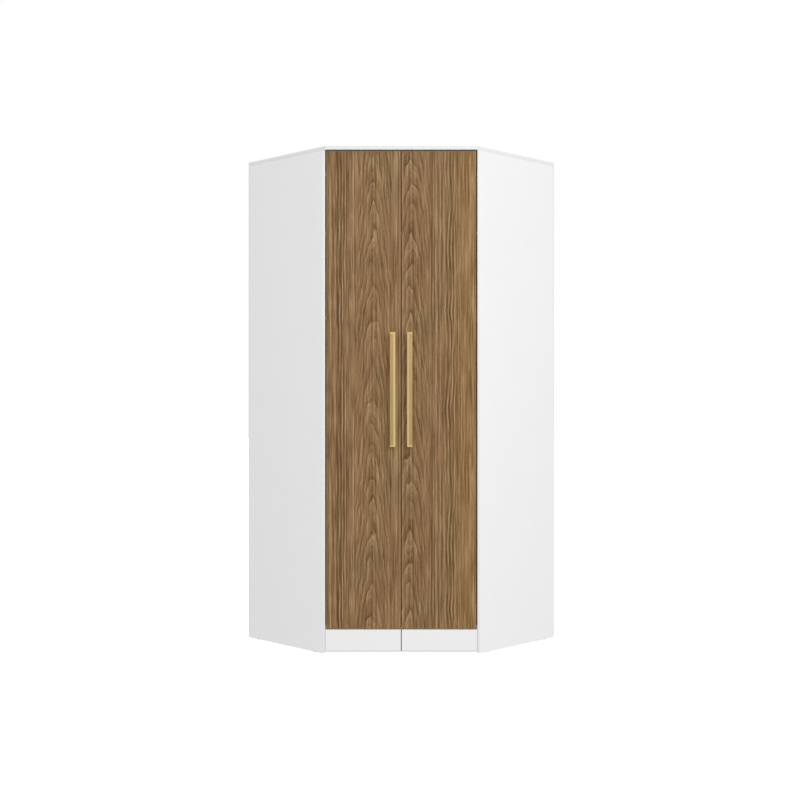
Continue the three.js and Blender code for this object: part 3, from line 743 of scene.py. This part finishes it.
def headTree():
    tree = bpy.data.node_groups.new("fastenerHeads", "GeometryNodeTree")
    wanted = [
        ("Geometry", "NodeSocketGeometry"), ("Radius", "NodeSocketFloat"), ("Height", "NodeSocketFloat"),
        ("Roundness", "NodeSocketFloat"), ("Sides", "NodeSocketInt"), ("Crossed", "NodeSocketBool"),
        ("Seed", "NodeSocketInt"), ("Finish", "NodeSocketMaterial")]
    sockets = {
        label: tree.interface.new_socket(label, in_out="INPUT", socket_type=kind).identifier
        for label, kind in wanted}
    tree.interface.new_socket("Geometry", in_out="OUTPUT", socket_type="NodeSocketGeometry")
    given = addNode(tree, "NodeGroupInput").outputs
    radius, height = given["Radius"], given["Height"]
    blank = addNode(tree, "GeometryNodeMeshCylinder", {
        "Vertices": given["Sides"], "Side Segments": 3, "Radius": radius, "Depth": height})
    spot = addNode(tree, "ShaderNodeSeparateXYZ", [addNode(tree, "GeometryNodeInputPosition")])
    climb = addNode(tree, "ShaderNodeMath", [spot.outputs["Z"], height], operation="DIVIDE")
    share = addNode(tree, "ShaderNodeMath", [climb, 0.5], operation="ADD")
    steep = addNode(tree, "ShaderNodeMath", [share, share], operation="MULTIPLY")
    drawn = addNode(tree, "ShaderNodeMath", [steep, given["Roundness"]], operation="MULTIPLY")
    left = addNode(tree, "ShaderNodeMath", [1, drawn], operation="SUBTRACT")
    pull = addNode(tree, "ShaderNodeMath", [left], operation="SQRT")
    lift = addNode(tree, "ShaderNodeMath", [share, height], operation="MULTIPLY")
    x = addNode(tree, "ShaderNodeMath", [spot.outputs["X"], pull], operation="MULTIPLY")
    y = addNode(tree, "ShaderNodeMath", [spot.outputs["Y"], pull], operation="MULTIPLY")
    domed = addNode(tree, "GeometryNodeSetPosition", {
        "Geometry": blank, "Position": addNode(tree, "ShaderNodeCombineXYZ", [x, y, lift])})
    longSide = addNode(tree, "ShaderNodeMath", [radius, crossRecess["length"]], operation="MULTIPLY")
    shortSide = addNode(tree, "ShaderNodeMath", [radius, crossRecess["width"]], operation="MULTIPLY")
    recess = addNode(tree, "GeometryNodeMeshBoolean", {
        "Mesh 1": domed}, operation="DIFFERENCE", solver="EXACT")
    for sizes in ((longSide, shortSide), (shortSide, longSide)):
        blade = addNode(tree, "GeometryNodeMeshCube", {
            "Size": addNode(tree, "ShaderNodeCombineXYZ", [*sizes, height])})
        raised = addNode(tree, "GeometryNodeTransform", {
            "Geometry": blade, "Translation": addNode(tree, "ShaderNodeCombineXYZ", [0, 0, height])})
        tree.links.new(raised.outputs[0], recess.inputs["Mesh 2"])
    head = addNode(tree, "GeometryNodeSwitch", {
        "Switch": given["Crossed"], "False": domed, "True": recess}, input_type="GEOMETRY")
    facing = addNode(tree, "GeometryNodeInputNamedAttribute", {
        "Name": "facing"}, data_type="FLOAT_VECTOR")
    upright = addNode(tree, "FunctionNodeAlignRotationToVector", {"Vector": facing}, axis="Z")
    placed = addNode(tree, "GeometryNodeInstanceOnPoints", {
        "Points": given["Geometry"], "Instance": head, "Rotation": upright})
    angle = addNode(tree, "FunctionNodeRandomValue", {2: 0.0, 3: 2 * math.pi, "Seed": given["Seed"]})
    spin = addNode(tree, "FunctionNodeAxisAngleToRotation", {
        "Axis": (0, 0, 1), "Angle": angle.outputs[1]})
    turned = addNode(tree, "GeometryNodeRotateInstances", {"Instances": placed, "Rotation": spin})
    solid = addNode(tree, "GeometryNodeRealizeInstances", [turned])
    painted = addNode(tree, "GeometryNodeSetMaterial", {"Geometry": solid, "Material": given["Finish"]})
    addNode(tree, "NodeGroupOutput", [painted])
    return tree, sockets


heads, headSockets = headTree()


# Places are pairs: a point and the way that the head on it faces
def fasteners(pieceName, body, look, places):
    mesh = bpy.data.meshes.new(pieceName)
    mesh.from_pydata([point for point, way in places], [], [])
    facing = mesh.attributes.new("facing", "FLOAT_VECTOR", "POINT")
    for entry, (point, way) in zip(facing.data, places):
        entry.vector = way
    piece = bpy.data.objects.new(pieceName, mesh)
    bpy.context.scene.collection.objects.link(piece)
    modifier = piece.modifiers.new("heads", "NODES")
    modifier.node_group = heads
    for label, value in look.items():
        modifier[headSockets[label]] = value
    evaluated = piece.evaluated_get(bpy.context.evaluated_depsgraph_get())
    finished = bpy.data.meshes.new_from_object(evaluated)
    piece.modifiers.clear()
    piece.data = finished
    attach(piece, body)


# Radius and height in millimetres, roundness, number of sides, and whether there is a cross recess
headForms = {
    "countersunk": (3.5, 1.6, 0.5, 20, True),
    "grub": (2.9, 1.0, 0.3, 20, True),
    "panHead": (2.8, 1.4, 0.5, 20, True),
    "bumper": (4, 1.5, 0.7, 20, False),
    "cover": (9, 1.2, 0.25, 32, False),
    "nail": (1.8, 0.3, 0.3, 10, False),
}


def headLook(form, seed, finish):
    radius, height, roundness, sides, crossed = headForms[form]
    return {
        "Radius": radius * mm, "Height": height * mm, "Roundness": roundness, "Sides": sides,
        "Crossed": crossed, "Seed": seed, "Finish": finish}


# Places of the fasteners, in millimetres and mostly as wallPoint takes them. Insets run from a leaf's edge,
# and rises from a hinge's middle or a leaf's foot.
hingePlaces = {
    "plateFace": 981.7, "plateMiddle": 481, "plateScrewRise": 16, "armFace": 971.7, "armScrews": (473, 493),
    "cupScrewInset": 28.5, "cupScrewRise": 24, "flangeFace": 1.5,
}
railPlaces = {
    "fromWall": 258, "flangeFace": 981.7, "flangeScrewRadius": 20.4, "hangerFace": 57.2,
    "hangerMiddle": 309.2, "hangerScrewReach": 16,
}
coverPlaces = {"panelFace": 985, "panelRow": (60, 280, 450), "fromBoard": 34, "shelfAlong": 950.7}
bumperPlaces = {"inset": (22, 60), "rise": 6}
nailPlaces = {"pitch": 108, "fromEnd": 34, "columns": (30, 992.5)}
hingesPerDoor = sum(nodeName.startswith("left_hinge_") and nodeName.endswith("_cup") for nodeName in nodes)
flangeScrewCount = 3
topLow, topHigh = [corner.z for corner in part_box("top_panel")]
shelfLow, shelfHigh = [corner.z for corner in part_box("hat_shelf")]
bottomLow, bottomHigh = [corner.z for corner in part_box("bottom_panel")]
railZ = sum(corner.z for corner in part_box("left_hanging_rail")) / 2
plateScrews = []
armScrews = []
railScrews = []
camCovers = []
nails = []
for side, sideName in sideNames.items():
    offPanel = -alongWay(side)
    leafLow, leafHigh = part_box(f"{sideName}_door")
    leafOuter = leafHigh.x if side > 0 else leafLow.x
    leafInner = leafLow.x if side > 0 else leafHigh.x
    cupScrews = []
    for hinge in range(1, hingesPerDoor + 1):
        z = sum(corner.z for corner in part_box(f"{sideName}_hinge_{hinge}_cup")) / 2
        for turn in (-1, 1):
            plateScrews.append((wallPoint(
                side, hingePlaces["plateFace"], hingePlaces["plateMiddle"],
                z + turn * hingePlaces["plateScrewRise"] * mm), offPanel))
            cupScrews.append((Vector((
                leafOuter - side * hingePlaces["cupScrewInset"] * mm,
                leafHigh.y + hingePlaces["flangeFace"] * mm,
                z + turn * hingePlaces["cupScrewRise"] * mm)), -frontWay))
        for inward in hingePlaces["armScrews"]:
            armScrews.append((wallPoint(side, hingePlaces["armFace"], inward, z), offPanel))
    fasteners(f"{sideName}CupScrews", f"{sideName}_leaf",
              headLook("countersunk", 5 + side, nickel), cupScrews)
    innerInset, outerInset = [side * inset * mm for inset in bumperPlaces["inset"]]
    bumpers = [
        (Vector((x, leafHigh.y, leafLow.z + bumperPlaces["rise"] * mm)), -frontWay)
        for x in (leafInner + innerInset, leafOuter - outerInset)]
    fasteners(f"{sideName}DoorBumpers", f"{sideName}_leaf",
              headLook("bumper", 1, bumperPlastic), bumpers)
    for step in range(flangeScrewCount):
        angle = math.radians(90 + 360 / flangeScrewCount * step)
        reach = railPlaces["flangeScrewRadius"]
        railScrews.append((wallPoint(
            side, railPlaces["flangeFace"], railPlaces["fromWall"] + reach * math.cos(angle),
            railZ + reach * math.sin(angle) * mm), offPanel))
    for turn in (-1, 1):
        railScrews.append((wallPoint(
            side, railPlaces["hangerMiddle"] + turn * railPlaces["hangerScrewReach"],
            railPlaces["fromWall"], railZ + railPlaces["hangerFace"] * mm), -upWay))
    fromBoard = coverPlaces["fromBoard"] * mm
    for inward in coverPlaces["panelRow"]:
        for z in (topLow - fromBoard, bottomHigh + fromBoard):
            camCovers.append((wallPoint(side, coverPlaces["panelFace"], inward, z), offPanel))
    for inward in coverPlaces["panelRow"]:
        camCovers.append((wallPoint(side, coverPlaces["shelfAlong"], inward, shelfLow), -upWay))
    towardsWall = -inwardWay(side)
    firstColumn, lastColumn = nailPlaces["columns"]
    firstNail, nailPitch = nailPlaces["fromEnd"] * mm, nailPlaces["pitch"] * mm
    nailedHeight = topHigh - 2 * firstNail
    count = round(nailedHeight / nailPitch)
    for along in nailPlaces["columns"]:
        for step in range(count + 1):
            z = firstNail + step * nailedHeight / count
            nails.append((wallPoint(side, along, 0, z), towardsWall))
    count = round((lastColumn - firstColumn) / nailPlaces["pitch"])
    for z in ((bottomLow + bottomHigh) / 2, (shelfLow + shelfHigh) / 2, (topLow + topHigh) / 2):
        for step in range(1, count):
            along = firstColumn + step * (lastColumn - firstColumn) / count
            nails.append((wallPoint(side, along, 0, z), towardsWall))
fasteners(
    "hingePlateScrews", "carcass", headLook("countersunk", 2, nickel), plateScrews)
fasteners("hingeArmScrews", "carcass", headLook("grub", 3, nickel), armScrews)
fasteners("railScrews", "carcass", headLook("panHead", 4, nickel), railScrews)
fasteners("camCovers", "carcass", headLook("cover", 1, whitePlastic), camCovers)
fasteners("backNails", "carcass", headLook("nail", 1, zinc), nails)
print("stage: fasteners")
